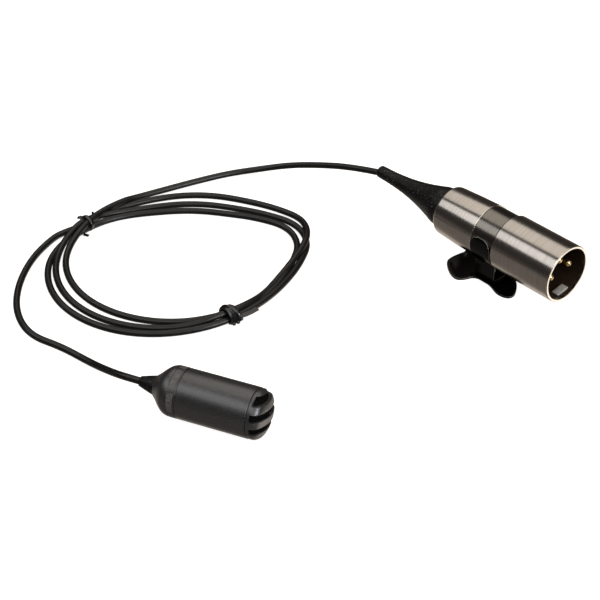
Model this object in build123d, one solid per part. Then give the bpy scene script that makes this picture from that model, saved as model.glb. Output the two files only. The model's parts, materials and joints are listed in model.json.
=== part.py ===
from build123d import *
import os
from math import cos, exp, pi, radians, sin, sqrt, tan

# Lavalier microphone, its cord, and a 3-pin connector held by a belt clip. Millimetres, +Z up.
# The origin lies on the floor under the middle of the microphone, and +X is its sound axis.

# --- microphone: stations along X, its axis MIC_R above the floor ---
MIC_R = 7.5
MIC_BORE = 6.6
FRONT_SEAM = 15.55
CAP_TOP = 20.45
HOUSING_LENGTH = 21.7
REAR_SEAM = FRONT_SEAM - HOUSING_LENGTH
REAR_END = -15.25
RELIEF_TIP = -20.45
SPIGOT = 2.0
GRILLE_WALL = 1.0
SLOT_COUNT = 3
SLOT_WIDTH = 2.15
SLOT_PITCH = 4.2
FIRST_SLOT = -2.7
SLOT_BACK = FRONT_SEAM + 0.9
PAD_COUNT = 6
PAD_ANGLE = 50
PAD_FRONT = REAR_SEAM - 0.4
PAD_LENGTH = 2.3
PAD_THICKNESS = 0.2

# --- dynamic cartridge ---
CASE_R = 5.25
CASE_WALL = 0.35
CASE_BACK = 0.6
CASE_FRONT = 13.4
CUP_R = CASE_R - CASE_WALL
DIAPHRAGM_X = 11.95
COIL_R = 3.2
GAP_R = 3.5
POLE_R = 2.7
MAGNET_BACK = 6.2
POLE_BACK = 10.2
POLE_FRONT = 11.2
BOARD_BACK = 4.2
BOARD_FRONT = 5.0

# --- cord ---
CORD_R = 1.1
FERRULE_BACK = -12.4
FERRULE_FRONT = -10.4
WIRE_R = 0.3

# --- loops of the cord: a rounded ring with one corner, flatter beyond it ---
LOOP_CENTRE = (-45.0, 66.0)
LOOP_R = 36.5
LOOP_CORNER = (8.5, 45, 25)
LOOP_FLAT = (-2.8, 125, 30)
LEFT_TIE = 171
RIGHT_TIE = -34
BOTTOM_FAN = 4.4
TOP_FAN = (5.3, -5.5)
RIGHT_FAN = (2.7, -2.6)
LOOP_MARGIN = 2.3
LOOP_HEIGHT = 4.8
TIE_LENGTH = 3.2
TIE_WALL = 0.7

# --- connector: stations are distances back from its front rim ---
RIM = (79.66, 89.58, 14.5)
YAW = -25.04
SHELL_R = 9.5
SHELL_BORE = 8.5
SHELL_LENGTH = 23.2
GROOVE_R = 8.8
GROOVE_LENGTH = 9.0
SLEEVE_BORE = 7.2
REAR_SHELL_END = 49.0
REAR_R = (9.05, 8.8, 8.33)
BOOT_TIP = 81.5
CORD_ENTRY = 79.0
LEAD_TURN = 86.5
PIN_R = 1.18
PIN_CIRCLE = 4.2
PIN_TIP = 2.1
PIN_ROLL = 10.5
INSULATOR_FACE = 16.2
INSULATOR_BACK = 21.0
CUP_BACK = 25.5
CLAMP_FRONT = 38.0
CLAMP_BACK = 44.5

# --- belt clip: heights above the floor, X along the connector, Y across it ---
GROOVE_MIDDLE = SHELL_LENGTH + GROOVE_LENGTH / 2
CLIP_WIDTH = 8.2
CLIP_STEEL = 0.6
CLIP_CLEARANCE = 0.05
ARM_ANGLE = 70
WALL_Y = 6.0
BASE_Z = 1.45
LEAF_Z = 0.95
JAW_STEEL = 0.7
LEAF_EDGE = [
    (-14.0, 3.5), (-15.2, 1.0), (-15.8, -3.5), (-15.2, -6.8), (-12.0, -9.8), (-8.8, -11.5), (-6.4, -11.7),
    (-4.8, -10.2), (-3.4, -7.2), (-1.3, -6.1), (0.5, -6.0), (3.4, -6.6), (6.8, -7.9), (9.2, -8.1),
    (11.5, -7.2), (12.1, -5.0), (10.6, -2.1), (8.5, 0.4), (6.0, 2.5), (4.5, 3.5),
]
TONGUE_WIDTH = 6.2
TONGUE_END = 7.6
THUMB_TAB = [(0.4, 0.2), (5.6, 3.6), (5.2, 4.2), (0.0, 0.9)]
HINGE_Y = 8.6
HINGE_Z = 1.4
HINGE_PIN_R = 0.6
KNUCKLE_R = 1.25
SPRING_WIRE = 0.18

MIC = Pos(0, 0, MIC_R)
CONNECTOR = Pos(*RIM) * Rot(0, 0, YAW)
CLIP = Pos(RIM[0], RIM[1], 0) * Rot(0, 0, YAW) * Pos(-GROOVE_MIDDLE, 0, 0)

# The free cord's corner points, from the microphone to the loops and from the boot to the loops.
MIC_LEAD = [
    (FERRULE_FRONT, 0, 7.5), (-24.5, 0, 7.5), (-34, 4.6, 4.2), (-43, 9.2, CORD_R), (-54, 12.2, CORD_R),
    (-66, 13.2, CORD_R), (-76, 21.5, CORD_R), (-83, 34, CORD_R), (-87, 49, CORD_R), (-86.8, 62, CORD_R),
    (-85.2, 66.5, CORD_R),
]
CONNECTOR_LEAD = [
    (RIM[0] - CORD_ENTRY * cos(radians(YAW)), RIM[1] - CORD_ENTRY * sin(radians(YAW)), RIM[2]),
    (RIM[0] - LEAD_TURN * cos(radians(YAW)), RIM[1] - LEAD_TURN * sin(radians(YAW)), RIM[2]),
    (-9, 128.3, 12.2), (-20, 130.2, 8.2), (-31, 131.2, 4.4), (-41.5, 128.8, 1.6),
    (-50.5, 122.6, CORD_R), (-59, 114, CORD_R), (-67, 104.3, CORD_R), (-73, 95, 1.8), (-75, 90.5, 2.8),
]

nodes = {}


def turned(points):
    """Solid of revolution about X from a closed outline of (x, radius) points."""
    outline = Polyline(*points, close=True)
    return revolve(make_face(outline), Axis.X)


def ring(start, end, outer, inner=0.0):
    """Tube or disc about X."""
    low, high = sorted((start, end))
    return turned([(low, inner), (high, inner), (high, outer), (low, outer)])


def rod(start, end, radius):
    """Round rod between any two points."""
    line = Line(start, end)
    return sweep(Plane(origin=start, z_dir=line % 0) * Circle(radius), path=line)


def cord_tube(name, points):
    """Round cord along straight runs joined by the largest tangent arcs that the runs allow."""
    vectors = [Vector(*point) for point in points]
    runs = [end - start for start, end in zip(vectors, vectors[1:])]
    radii = []
    for before, after in zip(runs, runs[1:]):
        half_turn = radians(before.get_angle(after)) / 2
        radii.append(0.45 * min(before.length, after.length) / tan(half_turn))
    path = FilletPolyline(*points, radius=radii)
    start = Plane(origin=points[0], z_dir=path % 0)
    tube = sweep(start * Circle(CORD_R), path=path)
    section_volume = pi * CORD_R**2 * path.length
    print(name, "length", round(path.length, 1), "volume / section", round(tube.volume / section_volume, 4))
    print("  radii", [round(radius, 1) for radius in radii])
    return tube


# --- microphone casing ---

def grille_cap():
    """Domed cap with horizontal slots and a spigot that presses into the housing."""
    outer = Spline(
        (FRONT_SEAM + 1.1, 7.4), (FRONT_SEAM + 1.8, 7.25), (FRONT_SEAM + 2.8, 6.64),
        (FRONT_SEAM + 3.7, 5.2), (CAP_TOP, 0), tangents=[(1, 0), (0, -1)],
    )
    inner = Spline(
        (FRONT_SEAM, 5.8), (FRONT_SEAM + 1.5, 5.6), (FRONT_SEAM + 2.7, 4.4), (CAP_TOP - GRILLE_WALL, 0),
        tangents=[(1, 0), (0, -1)],
    )
    edges = [
        outer,
        Line((CAP_TOP, 0), (CAP_TOP - GRILLE_WALL, 0)),
        inner,
        Polyline(
            (FRONT_SEAM, 5.8), (FRONT_SEAM - SPIGOT, 5.8), (FRONT_SEAM - SPIGOT, MIC_BORE),
            (FRONT_SEAM, MIC_BORE), (FRONT_SEAM, 7.4), (FRONT_SEAM + 1.1, 7.4),
        ),
    ]
    cap = revolve(make_face(edges), Axis.X)
    length = CAP_TOP - SLOT_BACK + 1
    for index in range(SLOT_COUNT):
        height = FIRST_SLOT + index * SLOT_PITCH
        cap -= Pos(SLOT_BACK + length / 2, 0, height) * Box(length, 2 * MIC_R + 2, SLOT_WIDTH)
    return cap


def grille_cloth():
    """Thin domed cloth behind the slots."""
    outer = Spline(
        (FRONT_SEAM - 0.5, 5.5), (FRONT_SEAM + 1.2, 5.3), (FRONT_SEAM + 2.3, 4.1), (CAP_TOP - 1.4, 0),
        tangents=[(1, 0), (0, -1)],
    )
    inner = Spline(
        (FRONT_SEAM - 0.5, 5.1), (FRONT_SEAM + 0.9, 4.9), (FRONT_SEAM + 1.9, 3.8), (CAP_TOP - 1.8, 0),
        tangents=[(1, 0), (0, -1)],
    )
    edges = [
        outer,
        Line((CAP_TOP - 1.4, 0), (CAP_TOP - 1.8, 0)),
        inner,
        Line((FRONT_SEAM - 0.5, 5.1), (FRONT_SEAM - 0.5, 5.5)),
    ]
    return revolve(make_face(edges), Axis.X)


def rear_cap():
    """Cap with a coned shoulder, a spigot for the housing and a shallow ring for the pads."""
    cap = turned([
        (REAR_SEAM + 3, MIC_BORE), (REAR_SEAM + 3, 5.8), (-10, 5.8), (-14.0, 2.9), (-14.0, 1.9),
        (REAR_END, 1.9), (REAR_END, 3.22), (-14.25, 4.32), (-13.35, 5.42), (-12.35, 6.4),
        (-11.25, 7.14), (-10.05, MIC_R), (PAD_FRONT - PAD_LENGTH, MIC_R),
        (PAD_FRONT - PAD_LENGTH, MIC_R - PAD_THICKNESS), (PAD_FRONT, MIC_R - PAD_THICKNESS),
        (PAD_FRONT, MIC_R), (REAR_SEAM, MIC_R), (REAR_SEAM, MIC_BORE),
    ])
    return cap


def label_pads():
    """Blank pads set flush in the rear cap's ring."""
    band = ring(PAD_FRONT - PAD_LENGTH, PAD_FRONT, MIC_R, MIC_R - PAD_THICKNESS)
    gap_width = 2 * MIC_R * sin(radians(360 / PAD_COUNT - PAD_ANGLE) / 2)
    middle = PAD_FRONT - PAD_LENGTH / 2
    for index in range(PAD_COUNT):
        turn = Rot(50 + index * 360 / PAD_COUNT, 0, 0)
        band -= turn * Pos(middle, 0, MIC_R) * Box(2 * PAD_LENGTH, gap_width, 2)
    return band


def strain_relief():
    """Small tapered sleeve held in the rear cap by its inner flange."""
    return turned([
        (RELIEF_TIP, CORD_R), (FERRULE_BACK, CORD_R), (FERRULE_BACK, 2.8), (-14.0, 2.8), (-14.0, 1.9),
        (REAR_END, 1.9), (REAR_END, 3.0), (RELIEF_TIP, 1.45),
    ])


def make_microphone():
    """Casing pieces, each placed on the microphone's axis."""
    nodes["grille_cap"] = MIC * grille_cap()
    nodes["grille_cloth"] = MIC * grille_cloth()
    nodes["mic_housing"] = MIC * ring(REAR_SEAM, FRONT_SEAM, MIC_R, MIC_BORE)
    nodes["rear_cap"] = MIC * rear_cap()
    nodes["label_pads"] = MIC * label_pads()
    nodes["mic_strain_relief"] = MIC * strain_relief()
    nodes["cord_ferrule"] = MIC * ring(FERRULE_BACK, FERRULE_FRONT, 1.8, CORD_R)


# --- cartridge ---

def cartridge_case():
    """Thin cup, open at the front, with a wire hole in its back."""
    case = ring(CASE_BACK, CASE_FRONT, CASE_R)
    case -= ring(CASE_BACK + CASE_WALL, CASE_FRONT, CUP_R)
    return case - ring(CASE_BACK, CASE_BACK + CASE_WALL, 1.2)


def cartridge_cover():
    """Front plate with a ring of sound holes round a middle one."""
    cover = ring(CASE_FRONT - 0.4, CASE_FRONT, CUP_R)
    hole = Pos(CASE_FRONT - 0.2, 0, 0) * Rot(0, 90, 0) * Cylinder(0.7, 1)
    cover -= hole
    for index in range(6):
        cover -= Rot(index * 60, 0, 0) * Pos(0, 0, 2.8) * hole
    return cover


def diaphragm():
    """Thin film with a flat surround and a domed middle."""
    film = 0.12
    low = DIAPHRAGM_X
    return turned([
        (low, CUP_R), (low, 3.4), (low + 0.55, 2.0), (low + 0.8, 0), (low + 0.8 + film, 0),
        (low + 0.55 + film, 2.1), (low + film, 3.5), (low + film, CUP_R),
    ])


def make_cartridge():
    """Dynamic cartridge between two rubber rings."""
    front_ring = CASE_FRONT - 2
    nodes["front_shock_ring"] = MIC * ring(front_ring, front_ring + 1.8, MIC_BORE, CASE_R)
    nodes["rear_shock_ring"] = MIC * ring(CASE_BACK, CASE_BACK + 1.8, MIC_BORE, CASE_R)
    nodes["cartridge_case"] = MIC * cartridge_case()
    nodes["cartridge_cover"] = MIC * cartridge_cover()
    nodes["clamp_ring"] = MIC * ring(DIAPHRAGM_X + 0.12, CASE_FRONT - 0.4, CUP_R, 4.2)
    nodes["diaphragm"] = MIC * diaphragm()
    nodes["voice_coil"] = MIC * ring(DIAPHRAGM_X - 1.9, DIAPHRAGM_X, COIL_R + 0.25, COIL_R)
    nodes["pole_plate"] = MIC * ring(POLE_BACK, POLE_FRONT, POLE_R + 0.2)
    nodes["magnet"] = MIC * ring(MAGNET_BACK, POLE_BACK, POLE_R)
    yoke = ring(BOARD_FRONT, POLE_FRONT, CUP_R) - ring(MAGNET_BACK, POLE_FRONT, GAP_R + 0.25)
    nodes["yoke"] = MIC * (yoke + ring(POLE_FRONT, DIAPHRAGM_X, CUP_R, 4.2))
    nodes["terminal_board"] = MIC * ring(BOARD_BACK, BOARD_FRONT, CUP_R)
    wires = [rod((BOARD_BACK, side, 0), (FERRULE_FRONT, side, 0), WIRE_R) for side in (-0.5, 0.5)]
    nodes["cartridge_wires"] = MIC * (Part() + wires)


# --- cord ---

def bump(angle, height, middle, spread):
    """Smooth rise or dip of the loop's radius about one direction."""
    return height * exp(-(((angle - middle) / spread) ** 2))


def wave(angle, start, end):
    """Half wave: 0 outside the two angles and 1 midway between them."""
    if not start < angle < end:
        return 0.0
    return sin(pi * (angle - start) / (end - start))


def loop_radius(angle):
    """Distance of the loops' middle line from their centre."""
    return LOOP_R + bump(angle, *LOOP_CORNER) + bump(angle, *LOOP_FLAT)


def loop_edge(side):
    """Closed outline of the loops: side 0 is their outer edge and side 1 their inner edge."""
    sign = 1 - 2 * side
    points = []
    for angle in range(-30, 330, 10):
        radius = loop_radius(angle) + sign * BOTTOM_FAN * wave(angle, LEFT_TIE, 360 + RIGHT_TIE)
        radius += TOP_FAN[side] * wave(angle, 5, LEFT_TIE) + RIGHT_FAN[side] * wave(angle, RIGHT_TIE, 60)
        radius += sign * LOOP_MARGIN
        turn = radians(angle)
        points.append((LOOP_CENTRE[0] + radius * cos(turn), LOOP_CENTRE[1] + radius * sin(turn)))
    return make_face(Spline(*points, periodic=True))


def cord_coil():
    """Space that the three loops of cord fill."""
    return extrude(loop_edge(0), LOOP_HEIGHT) - extrude(loop_edge(1), LOOP_HEIGHT)


def twist_tie(angle, tail):
    """Ribbon bent over the loops at one angle, with its twisted end standing out as a tail."""
    place = Pos(*LOOP_CENTRE, 0) * Rot(0, 0, angle) * Pos(loop_radius(angle), 0, 0)
    width = 2 * (LOOP_MARGIN + TIE_WALL) + 0.6
    height = LOOP_HEIGHT + TIE_WALL
    band = Pos(0, 0, height / 2) * Box(width, TIE_LENGTH, height)
    band = fillet(band.edges().group_by(Axis.Z)[-1], 0.6)
    twist = Pos(width / 2 + tail / 2, 0, 1.0) * Box(tail, 1.8, 1.6)
    return place * (band + twist) - nodes["cord_coil"]


def make_cord():
    """Two leads, the loops and the two ties."""
    nodes["mic_lead"] = cord_tube("mic_lead", MIC_LEAD)
    nodes["connector_lead"] = cord_tube("connector_lead", CONNECTOR_LEAD)
    nodes["cord_coil"] = cord_coil()
    nodes["left_tie"] = twist_tie(LEFT_TIE, 2.0)
    nodes["right_tie"] = twist_tie(RIGHT_TIE, 5.0)


# --- connector ---

def back(profile):
    """Outline given as (distance back from the rim, radius) turned into a solid."""
    return turned([(-distance, radius) for distance, radius in profile])


def front_shell():
    """Open metal shell with a latch pocket and a key notch inside its rim."""
    shell = back([
        (0, SHELL_BORE + 0.1), (0, SHELL_R - 0.15), (0.15, SHELL_R), (SHELL_LENGTH - 0.25, SHELL_R),
        (SHELL_LENGTH, SHELL_R - 0.2), (SHELL_LENGTH, SHELL_BORE), (0.1, SHELL_BORE),
    ])
    pocket = Rot(PIN_ROLL, 0, 0) * Pos(-3.8, 0, -SHELL_BORE) * Box(4.4, 5.9, 1.1)
    notch = Rot(-37, 0, 0) * Pos(-5, 0, -SHELL_BORE) * Box(12, 1.1, 0.8)
    screw_hole = Pos(-18.6, SHELL_R, 0) * Rot(90, 0, 0) * Cylinder(1.2, 4)
    return shell - pocket - notch - screw_hole


def pin_places():
    """Names and directions of the pins round the connector's axis: two level, the third above."""
    return [("contact_pin_1", 90), ("contact_pin_2", -90), ("contact_pin_3", 0)]


def contact_pin(angle):
    """Round-nosed contact with a solder cup behind the insulator."""
    pin = back([
        (PIN_TIP, 0), (PIN_TIP + 0.1, 0.6), (PIN_TIP + 0.5, 1.0), (PIN_TIP + 1.1, PIN_R),
        (INSULATOR_BACK, PIN_R), (INSULATOR_BACK, 1.5), (CUP_BACK, 1.5), (CUP_BACK, 1.0),
        (CUP_BACK - 2.5, 1.0), (CUP_BACK - 2.5, 0),
    ])
    return Rot(PIN_ROLL + angle, 0, 0) * Pos(0, 0, PIN_CIRCLE) * pin


def pin_insulator():
    """Moulded disc that holds the three pins and takes the set screw in its side."""
    disc = ring(-INSULATOR_BACK, -INSULATOR_FACE, SHELL_BORE)
    hole = Rot(0, 90, 0) * Cylinder(PIN_R, 60)
    for _, angle in pin_places():
        disc -= Rot(PIN_ROLL + angle, 0, 0) * Pos(0, 0, PIN_CIRCLE) * hole
    return disc - Pos(-18.6, SHELL_BORE, 0) * Rot(90, 0, 0) * Cylinder(0.8, 3)


def set_screw():
    """Slotted screw through the shell into the insulator."""
    place = Pos(-18.6, SHELL_R, 0) * Rot(90, 0, 0)
    head = place * Pos(0, 0, 0.45) * Cylinder(1.2, 0.9)
    shank = place * Pos(0, 0, 1.7) * Cylinder(0.8, 1.6)
    return head + shank - place * Box(3, 0.4, 0.6)


def centre_sleeve():
    """Sleeve with the clip's groove between two spigots."""
    end = SHELL_LENGTH + GROOVE_LENGTH
    return back([
        (INSULATOR_BACK, SLEEVE_BORE), (end + 3, SLEEVE_BORE), (end + 3, 7.9), (end, 7.9), (end, GROOVE_R),
        (SHELL_LENGTH, GROOVE_R), (SHELL_LENGTH, SHELL_BORE), (INSULATOR_BACK, SHELL_BORE),
    ])


def rear_shell():
    """Slightly tapered shell over the sleeve's rear spigot, with a hole for the boot."""
    front = SHELL_LENGTH + GROOVE_LENGTH
    return back([
        (front, 7.9), (front, REAR_R[0] - 0.15), (front + 0.2, REAR_R[0]), (40, REAR_R[1]),
        (48.4, REAR_R[2]), (REAR_SHELL_END, 7.9), (REAR_SHELL_END, 6.9), (46, 6.9), (46, 7.4),
        (front + 3, 7.4), (front + 3, 7.9),
    ])


def boot():
    """Rubber boot: inner flange, collar, and a hollow-curved taper down to the cord."""
    taper = Spline(
        (-52, 6.85), (-53, 6.5), (-59, 4.7), (-65, 3.4), (-72, 2.5), (-77, 2.2), (-BOOT_TIP, 2.1),
    )
    body = Polyline(
        (-BOOT_TIP, 2.1), (-BOOT_TIP, CORD_R), (-CLAMP_BACK, CORD_R), (-CLAMP_BACK, 7.35), (-46, 7.35),
        (-46, 6.85), (-52, 6.85),
    )
    return revolve(make_face([taper, body]), Axis.X)


def cable_clamp():
    """Slit collet that grips the cord inside the rear shell."""
    collet = back([
        (CLAMP_FRONT, CORD_R), (CLAMP_BACK, CORD_R), (CLAMP_BACK, 7.35), (CLAMP_FRONT + 2, 7.35),
        (CLAMP_FRONT, 5.0),
    ])
    for index in range(3):
        collet -= Rot(60 + index * 120, 0, 0) * Pos(-CLAMP_FRONT - 2, 0, 5) * Box(4.2, 0.8, 7)
    return collet


def conductor_wires():
    """Three wires from the cord's end to the solder cups."""
    wires = []
    for _, angle in pin_places():
        turn = radians(PIN_ROLL + angle)
        outer = (0, -sin(turn), cos(turn))
        start = [-35.9] + [0.6 * part for part in outer[1:]]
        end = [-CUP_BACK] + [PIN_CIRCLE * part for part in outer[1:]]
        wires.append(rod(tuple(start), tuple(end), 0.35))
    return Part() + wires


def make_connector():
    """All the pieces on the connector's axis."""
    nodes["front_shell"] = CONNECTOR * front_shell()
    nodes["pin_insulator"] = CONNECTOR * pin_insulator()
    for name, angle in pin_places():
        nodes[name] = CONNECTOR * contact_pin(angle)
    nodes["insulator_screw"] = CONNECTOR * set_screw()
    nodes["centre_sleeve"] = CONNECTOR * centre_sleeve()
    nodes["rear_shell"] = CONNECTOR * rear_shell()
    nodes["boot"] = CONNECTOR * boot()
    nodes["cable_clamp"] = CONNECTOR * cable_clamp()
    nodes["cord_end"] = CONNECTOR * ring(-CORD_ENTRY, -36, CORD_R)
    nodes["conductor_wires"] = CONNECTOR * conductor_wires()
    tab = Pos(-CUP_BACK + 0.6, 0, 0) * Box(0.5, 2.0, 1.3)
    nodes["ground_tab"] = CONNECTOR * Rot(PIN_ROLL + 90, 0, 0) * Pos(0, 0, 6.42) * tab


# --- belt clip ---

def saddle_side(radius, wall_y, floor_z):
    """One face line of the saddle, arm tip to arm tip: arc, wall, base, wall, arc."""
    axis_z = RIM[2]
    tip = radians(ARM_ANGLE)
    tip_y, tip_z = radius * sin(tip), axis_z + radius * cos(tip)
    corner_z = axis_z - sqrt(radius**2 - wall_y**2)
    right = RadiusArc((tip_y, tip_z), (wall_y, corner_z), radius)
    left = RadiusArc((-wall_y, corner_z), (-tip_y, tip_z), radius)
    walls = Polyline((wall_y, corner_z), (wall_y, floor_z), (-wall_y, floor_z), (-wall_y, corner_z))
    return [right, walls, left]


def saddle_clip():
    """Spring steel channel whose two arms grip the groove."""
    inner_r = GROOVE_R + CLIP_CLEARANCE
    outer_r = inner_r + CLIP_STEEL
    outer = saddle_side(outer_r, WALL_Y, BASE_Z)
    inner = saddle_side(inner_r, WALL_Y - CLIP_STEEL, BASE_Z + CLIP_STEEL)
    tips = [Line(outer[0] @ 0, inner[0] @ 0), Line(outer[2] @ 1, inner[2] @ 1)]
    band = make_face(outer + inner + tips)
    solid = extrude(Plane.YZ * band, CLIP_WIDTH / 2, both=True)
    arm_top = RIM[2] + outer_r * cos(radians(ARM_ANGLE)) + 0.1
    outline = Pos(0, arm_top / 2) * Rectangle(CLIP_WIDTH + 0.02, arm_top)
    outline = fillet(outline.vertices().group_by(Axis.Y)[-1], CLIP_WIDTH / 2 - 0.5)
    solid &= extrude(Plane.XZ * outline, 12, both=True)
    return solid - Pos(0, 0, BASE_Z) * Cylinder(1.0, 3)


def clip_rivet():
    """Rivet that holds the upper leaf under the saddle."""
    top = BASE_Z + CLIP_STEEL
    shank = Pos(0, 0, (top + LEAF_Z) / 2) * Cylinder(1.0, top - LEAF_Z)
    return shank + Pos(0, 0, top + 0.25) * Cylinder(1.8, 0.5)


def knuckle(start, end, radius):
    """Round length on the clip's hinge line."""
    return Pos(0, HINGE_Y, HINGE_Z) * ring(start, end, radius)


def upper_leaf():
    """Leaf riveted under the saddle, with an ear at each end of the hinge pin."""
    thickness = BASE_Z - LEAF_Z
    middle = (HINGE_Y - 2.0 - 7.2) / 2
    leaf = Pos(0, middle, LEAF_Z + thickness / 2) * Box(9.2, HINGE_Y - 2.0 + 7.2, thickness)
    for side in (-1, 1):
        ear = knuckle(side * 3.4, side * 4.6, KNUCKLE_R)
        ear += Pos(side * 4.0, HINGE_Y - 1.5, LEAF_Z + thickness / 2) * Box(1.2, 2.4, thickness)
        leaf += ear
    leaf -= knuckle(-5, 5, HINGE_PIN_R)
    return leaf - Cylinder(1.0, 6)


def lower_leaf():
    """Leaf with a large and a small lobe, a tongue back to the hinge and a thumb tab beyond it."""
    outline = make_face([Spline(*LEAF_EDGE), Line(LEAF_EDGE[-1], LEAF_EDGE[0])])
    outline += Pos(0, TONGUE_END / 2) * Rectangle(TONGUE_WIDTH, TONGUE_END)
    leaf = extrude(outline, JAW_STEEL)
    for side in (-1, 1):
        leaf += knuckle(side * 1.9, side * 3.1, KNUCKLE_R)
    tab = Polyline(*[(HINGE_Y + y, z) for y, z in THUMB_TAB], close=True)
    leaf += extrude(Plane.YZ * make_face(tab), TONGUE_WIDTH / 2, both=True)
    leaf -= Pos(0, HINGE_Y, HINGE_Z) * Box(3.8, 2 * KNUCKLE_R + 0.4, 2 * KNUCKLE_R + 1.2)
    return leaf - knuckle(-5, 5, HINGE_PIN_R + CLIP_CLEARANCE)


def torsion_spring():
    """Closed coils round the hinge pin."""
    coil_r = HINGE_PIN_R + 0.15 + SPRING_WIRE
    helix = Helix(pitch=0.45, height=2.7, radius=coil_r, center=(-1.35, 0, 0), direction=(1, 0, 0))
    section = Plane(origin=helix @ 0, z_dir=helix % 0) * Circle(SPRING_WIRE)
    return Pos(0, HINGE_Y, HINGE_Z) * sweep(section, path=helix, is_frenet=True)


def make_clip():
    """Belt clip hung under the connector's groove."""
    nodes["saddle_clip"] = CLIP * saddle_clip()
    nodes["clip_rivet"] = CLIP * clip_rivet()
    nodes["upper_leaf"] = CLIP * upper_leaf()
    nodes["lower_leaf"] = CLIP * lower_leaf()
    nodes["hinge_pin"] = CLIP * knuckle(-4.6, 4.6, HINGE_PIN_R)
    nodes["torsion_spring"] = CLIP * torsion_spring()


make_microphone()
make_cartridge()
make_cord()
make_connector()
make_clip()

os.makedirs("parts", exist_ok=True)
for name, shape in nodes.items():
    shape.label = name
    export_step(shape, f"parts/{name}.step")
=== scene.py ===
import json
from math import atan2, cos, degrees, exp, pi, radians, sin, sqrt

import bmesh
import bpy
from mathutils import Matrix, Vector


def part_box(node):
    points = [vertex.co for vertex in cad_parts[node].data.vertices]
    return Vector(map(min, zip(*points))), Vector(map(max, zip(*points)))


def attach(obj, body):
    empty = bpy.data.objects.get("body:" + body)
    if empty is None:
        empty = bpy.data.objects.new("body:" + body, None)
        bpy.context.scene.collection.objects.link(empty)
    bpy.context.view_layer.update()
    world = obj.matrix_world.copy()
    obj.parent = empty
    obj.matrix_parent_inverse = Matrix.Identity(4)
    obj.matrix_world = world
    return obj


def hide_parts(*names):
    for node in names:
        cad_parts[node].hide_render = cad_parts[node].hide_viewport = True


# Looks of a lavalier microphone, its looped cord and its clipped 3-pin connector.
# Lengths of the object are in millimetres and turned into metres by MM where Blender needs them.
# Lights, the camera and the floor are placed in metres.
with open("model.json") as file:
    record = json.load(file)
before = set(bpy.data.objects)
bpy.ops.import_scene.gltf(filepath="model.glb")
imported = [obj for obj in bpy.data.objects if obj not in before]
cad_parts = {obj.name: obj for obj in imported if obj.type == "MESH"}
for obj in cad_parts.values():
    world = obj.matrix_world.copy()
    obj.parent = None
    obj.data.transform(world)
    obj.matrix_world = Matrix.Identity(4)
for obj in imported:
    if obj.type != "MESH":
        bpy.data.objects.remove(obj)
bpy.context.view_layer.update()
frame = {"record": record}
mounts = {mount["name"]: mount for mount in frame["record"]["mounts"]}

MM = 0.001
AROUND = 160

# --- places, from the frame ---
housing_low, housing_high = (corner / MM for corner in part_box("mic_housing"))
MIC_R = (housing_high.z - housing_low.z) / 2
FRONT_SEAM = housing_high.x
REAR_SEAM = housing_low.x
MIC = Matrix.Translation((0, 0, MIC_R * MM))
RELIEF_TIP = -20.45
RELIEF_FOOT = -15.2

socket = mounts["connector_socket"]
RIM = Vector(socket["pos_m"]) / MM
FORWARD = Vector(socket["axis"])
TURN = Matrix.Rotation(Vector((1, 0)).angle_signed(FORWARD.xy) * -1, 4, "Z")
CONNECTOR = Matrix.Translation(RIM * MM) @ TURN

# --- slots of the grille, counted upwards; they are rolled about the microphone's axis ---
SLOT_COUNT = 3
SLOT_WIDTH = 2.15
SLOT_PITCH = 4.2
FIRST_SLOT = -2.7
SLOT_ROLL = -14

# --- connector stations, back from the rim ---
SHELL_LENGTH = 23.2
SHELL_R = 9.5
SHELL_BORE = 8.5
MOUTH_R = 8.64
GROOVE_LENGTH = 9.0
GROOVE_R = 8.8
GROOVE_END = SHELL_LENGTH + GROOVE_LENGTH
GROOVE_MIDDLE = SHELL_LENGTH + GROOVE_LENGTH / 2
REAR_SHELL_END = 49.0
BOOT_TIP = 81.5
BEAD_START = 31.85
SCREW_BACK = 18.6
PIN_ROLL = 10.5
PIN_TURN = Matrix.Rotation(radians(PIN_ROLL), 4, "X")
KEY_TURN = Matrix.Rotation(radians(-37), 4, "X")
PIN_ANGLES = {"pin_1": 90, "pin_2": -90, "pin_3": 0}
PIN_CIRCLE = 4.2
PIN_R = 1.18
INSULATOR_FACE = 16.2
BELOW_RIM = Matrix.Translation((RIM.x * MM, RIM.y * MM, 0))
CLIP = BELOW_RIM @ TURN @ Matrix.Translation((-GROOVE_MIDDLE * MM, 0, 0))

# --- belt clip ---
CLIP_WIDTH = 8.2
CLIP_STEEL = 0.6
ARM_ANGLE = 70
WALL_Y = 6.0
BASE_Z = 1.45
JAW_STEEL = 0.7
TONGUE_WIDTH = 6.2
LEAF_EDGE = [
    (-14.0, 3.5), (-15.2, 1.0), (-15.8, -3.5), (-15.2, -6.8), (-12.0, -9.8), (-8.8, -11.5), (-6.4, -11.7),
    (-4.8, -10.2), (-3.4, -7.2), (-1.3, -6.1), (0.5, -6.0), (3.4, -6.6), (6.8, -7.9), (9.2, -8.1),
    (11.5, -7.2), (12.1, -5.0), (10.6, -2.1), (8.5, 0.4), (6.0, 2.5), (4.5, 3.5),
]
HINGE_Y = 8.6
HINGE_Z = 1.4
KNUCKLE_R = 1.25

# --- cord ---
CORD_R = 1.1
LOOP_CENTRE = (-45.0, 66.0)
LOOP_R = 36.5
LOOP_CORNER = (9.3, 46.5, 24)
LOOP_FLAT = (-3.2, 130, 30)
LEFT_TIE = 171
RIGHT_TIE = -34
TURN_STEP = 15
TIE_LIFT = 0.5
RIBBON_LOW = 0.5

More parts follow.
